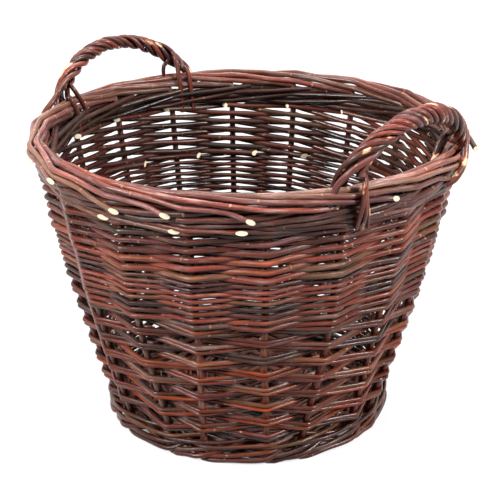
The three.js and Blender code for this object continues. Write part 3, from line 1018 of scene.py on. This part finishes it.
# %% [markdown]
# The strands wind evenly round a core, apart from slow waves in their angle and
# distance that make each one lie a little differently. Toward the feet they
# slacken and part. Which strand takes which tied end is left to the shortest
# way: of all orders, the one that strains the rods least.

# %% Strands wound round a handle
ROPE_STEPS, ARCH_SHORT, CORE_SHORT = 60, 0.12, 4
ANGLE_WAVE, ANGLE_RATE, AWAY_WAVE, AWAY_RATE, SLACK_FADE = 0.24, 9, 0.6, 14, 6
UNEVEN, STRAND_SIZES, CORE_SIZE = (0.6, 1.5), (0.9, 1.12), 0.9


def make_handle(name, handle, node, seed):
    chance = random.Random(seed)
    rods = bmesh.new()
    count = len(handle["ends"][0])
    strand = handle["rope"] / 2 * math.sin(math.pi / count) / (1 + math.sin(math.pi / count))
    coil = handle["rope"] / 2 - strand
    first, last = ARCH_SHORT, math.pi - ARCH_SHORT
    arch = [first + (last - first) * i / ROPE_STEPS for i in range(ROPE_STEPS + 1)]
    frames = carried_rings([handle_axis(handle, t) for t in arch])
    uneven = [(chance.uniform(0, math.tau), chance.uniform(*UNEVEN)) for _ in range(count)]

    def wound_point(s, i):
        u = i / ROPE_STEPS
        wave, size = uneven[s]
        turned = u - handle["ease"] * math.sin(math.tau * u) / math.tau
        angle = math.tau * (s / count + handle["turns"] * turned)
        angle += ANGLE_WAVE * math.sin(ANGLE_RATE * u + wave)
        centre, across, upright, _ = frames[i]
        near, far = handle["slack"]
        slack = 1 + near * (1 - u) ** SLACK_FADE + far * u**SLACK_FADE
        away = (coil + AWAY_WAVE * size * math.sin(AWAY_RATE * u + wave)) * slack
        return centre + (across * math.cos(angle) + upright * math.sin(angle)) * away

    def from_core(point):
        nearest = min(frames, key=lambda ring: (ring[0] - point).length_squared)
        return (point - nearest[0]).normalized()

    chosen = []
    for tied, outward in zip(handle["ends"], (-1, 1)):
        places = [leave if outward < 0 else ROPE_STEPS - leave for leave, _, _ in tied]

        def way_out(s, e):
            start, ahead = wound_point(s, places[e]), frames[places[e]][3] * outward
            return start, tied_end(tied[e][2], start, ahead)

        def strain(order):
            ways = (way_out(s, e) for s, e in enumerate(order))
            return sum((start - path[0]).length ** 2 for start, path in ways)

        order = min(itertools.permutations(range(count)), key=strain)
        chosen.append([(places[e], tied[e][1], way_out(s, e)[1]) for s, e in enumerate(order)])
    for s, ((start, butt, near), (stop, tip, far)) in enumerate(zip(*chosen)):
        wound = [wound_point(s, i) for i in range(start, stop + 1)]
        line = flowing([*near[::-1], *wound[::2], *far])
        own = strand * chance.uniform(*STRAND_SIZES)
        add_rod(rods, line, own * butt, own * tip, chance, away=from_core)
    core = [ring[0] for ring in frames[CORE_SHORT : ROPE_STEPS - CORE_SHORT + 1 : 2]]
    add_rod(rods, core, strand * CORE_SIZE, strand * CORE_SIZE, chance)
    place(name, rods, handle_bark, "handle_bark", node)


# %% [markdown]
# Each end of a strand is told by the step of the rope at which it leaves, its
# thickness as a share of the strand's, and the places it passes on its way
# down: azimuth, distance out from the middle of the border, and height. One
# without places plunges straight into the border. The two feet of a handle are
# listed one after the other.

# %% Two handles
RIGHT = {
    "azimuth": 2.7, "foot": 24.6, "rise": 63.7, "shape": 0.95,
    "lean": 12.2, "skew": -4.3, "sway": -3.0,
    "rope": 19.6, "turns": 3.0, "ease": 0.5, "slack": (0.1, 0.3),
    "ends": (
        (
            (3, 1.1, (
                (25.5, 9, 325), (22.6, 12, 309), (20.6, 12.5, 297),
                (17.6, 8.5, 286), (16.4, 2, 281),
            )),
            (0, 1.1, None),
            (0, 1.0, None),
            (3, 0.9, ((24.0, -9, 318), (22.5, -13.5, 303), (21.5, -14.5, 288), (21.2, -17, 268))),
            (4, 0.9, ((21.5, -9, 322), (19.0, -13.5, 305), (18.2, -14.5, 290), (18.0, -17, 270))),
            (0, 1.0, None),
        ),
        (
            (0, 0.95, None),
            (0, 0.9, None),
            (0, 1.0, None),
            (5, 0.55, (
                (-17.4, 9, 321), (-18.0, 14.5, 313), (-18.2, 14.5, 302),
                (-18.3, 11, 287), (-17.5, -1, 269),
            )),
            (5, 0.6, (
                (-16.8, 6.5, 320), (-17.5, 12.5, 312), (-17.6, 13.5, 302),
                (-17.0, 10.5, 286), (-15.9, -1, 268),
            )),
            (5, 0.55, (
                (-16.2, 4, 319), (-17.0, 10.5, 312), (-17.0, 12, 301),
                (-16.0, 9.5, 286), (-14.1, -1, 268),
            )),
        ),
    ),
}
LEFT = {
    "azimuth": 179.1, "foot": 24.5, "rise": 49.0, "shape": 0.9,
    "lean": 11.5, "skew": -2.0, "sway": -2.8,
    "rope": 17.0, "turns": 3.1, "ease": 0.4, "slack": (0.25, 0.3),
    "ends": (
        (
            (2, 1.05, ((205.5, 5, 313), (208.6, 11, 301), (210.0, 13.5, 289), (210.8, 6, 273))),
            (0, 1.1, None),
            (6, 0.8, ((198.0, -6, 317), (196.0, -11, 300), (195.2, -12.5, 288), (195.4, -15, 274))),
            (2, 0.9, ((201.0, -6, 312), (200.4, -12, 299), (200.2, -13, 286), (200.2, -15, 272))),
            (0, 1.0, None),
        ),
        (
            (7, 0.8, ((158.2, -8, 327), (157.6, -12, 306), (157.2, -13.5, 288), (157.0, -16, 268))),
            (2, 0.8, (
                (154.6, -9, 315), (154.0, -12.5, 301), (153.7, -13.5, 287), (153.5, -16, 270),
            )),
            (7, 0.7, ((161.6, -1, 320), (161.8, -2, 309), (162.0, -3, 299))),
            (0, 0.95, None),
            (0, 1.0, None),
        ),
    ),
}
make_handle("roped_handle_right", RIGHT, "handle_right", 6000)
make_handle("roped_handle_left", LEFT, "handle_left", 6100)


# %% [markdown]
# ## Floor, light and camera
#
# The photograph's ground is white right up to the basket. More light would
# bleach the willow, so the floor and the world are white only to the rays that
# the camera and mirrors see; to all other light they are nearly black. Under the
# basket the floor doesn't glow, and shows the dark that the weave lets through.

# %% Floor
FLOOR_GLOW, FLOOR_SEEN, FLOOR_REAL = 0.84, 0.16, 0.06
FLOOR_SIZE, CLOUDS, CLOUD_DEPTH = 8.0, (1.5, 1.5, 1.5), 0.02
# Painted shade: within 120 to 146 mm of the basket's middle the floor's glow fades out, so the
# floor under the basket is dark.
BASKET_SHADE = (0.120, 0.146)
BLACK, WHITE = (0, 0, 0, 1), (1, 1, 1, 1)


def seen_rays(nodes):
    parts = nodes.node("ShaderNodeLightPath").socket.node.outputs
    names = ("Is Camera Ray", "Is Glossy Ray", "Is Transmission Ray")
    camera_ray, glossy_ray, clear_ray = (Wire(nodes, parts[name]) for name in names)
    return (camera_ray + glossy_ray + clear_ray).clipped()


def floor_finish():
    finish = Finish("pale_floor")
    places, seen = finish.object_place(), seen_rays(finish)
    clouds = finish.noise(places, CLOUDS, 2.0, 0.5)
    distance = finish.node("ShaderNodeVectorMath", {"operation": "LENGTH"}, {0: places}, output=1)
    glow = seen * distance.over(*BASKET_SHADE) * FLOOR_GLOW
    level = seen * (FLOOR_SEEN - FLOOR_REAL) + FLOOR_REAL + clouds * CLOUD_DEPTH
    finish.feed(finish.shader.inputs["Emission Color"], finish.mix(glow, BLACK, WHITE))
    finish.feed(finish.shader.inputs["Emission Strength"], 1.0)
    finish.surface(finish.mix(level, BLACK, WHITE), 0.9, 0.0)
    return finish.material


sheet = bmesh.new()
bmesh.ops.create_grid(sheet, x_segments=4, y_segments=4, size=FLOOR_SIZE)
floor_mesh = bpy.data.meshes.new("floor")
sheet.to_mesh(floor_mesh)
sheet.free()
floor_mesh.materials.append(floor_finish())
floor = bpy.data.objects.new("floor", floor_mesh)
bpy.context.collection.objects.link(floor)
print("floor", 2 * FLOOR_SIZE, "m wide")

# %% [markdown]
# Four suns stand in for a studio's lamps: a key from either side of the camera
# that leaves the crevices dark, a wide one from above, and one from behind that
# lights the rim. Each is told by its azimuth, its height in degrees, its
# strength and the angle that it fills in the sky.

# %% World and suns
WORLD_LIGHT = 0.03
world = bpy.data.worlds.new("studio")
bpy.context.scene.world = world
world.use_nodes = True
studio = Nodes(world.node_tree)
backdrop = studio.tree.nodes["Background"]
studio.feed(backdrop.inputs["Color"], WHITE)
studio.feed(backdrop.inputs["Strength"], seen_rays(studio) * (1 - WORLD_LIGHT) + WORLD_LIGHT)


def add_sun(name, azimuth, elevation, strength, width):
    lamp = bpy.data.lights.new(name, "SUN")
    lamp.energy, lamp.angle = strength, math.radians(width)
    held = bpy.data.objects.new(name, lamp)
    towards = spot(1, azimuth) * math.cos(math.radians(elevation))
    towards.z = math.sin(math.radians(elevation))
    held.rotation_euler = towards.to_track_quat("Z", "Y").to_euler()
    bpy.context.collection.objects.link(held)
    print("sun", name, strength)


add_sun("left_key", -108, 32, 4.2, 12)
add_sun("right_key", 18, 32, 3.8, 12)
add_sun("overhead", -45, 72, 1.6, 40)
add_sun("back_top", 135, 58, 2.0, 30)

# %% [markdown]
# The camera stands where the photograph was taken: a long lens looking down on
# the rim from between the two handles. Its focal length is told in pixels of the
# photograph's width.

# %% Camera
PHOTO_WIDTH, FOCAL_PIXELS, SENSOR = 495, 1422.9, 36.0
CAMERA_AT, CAMERA_DOWN, CAMERA_TURN = (0.97536, -0.97536, 0.72924), 21.992, 45
lens = bpy.data.cameras.new("photo_camera")
lens.sensor_fit, lens.sensor_width = "HORIZONTAL", SENSOR
lens.lens = FOCAL_PIXELS * SENSOR / PHOTO_WIDTH
camera = bpy.data.objects.new("photo_camera", lens)
camera.location = CAMERA_AT
camera.rotation_euler = (math.radians(90 - CAMERA_DOWN), 0, math.radians(CAMERA_TURN))
bpy.context.collection.objects.link(camera)
bpy.context.scene.camera = camera
bpy.context.scene.view_settings.view_transform = "Standard"
print("lens", round(lens.lens, 1), "mm")
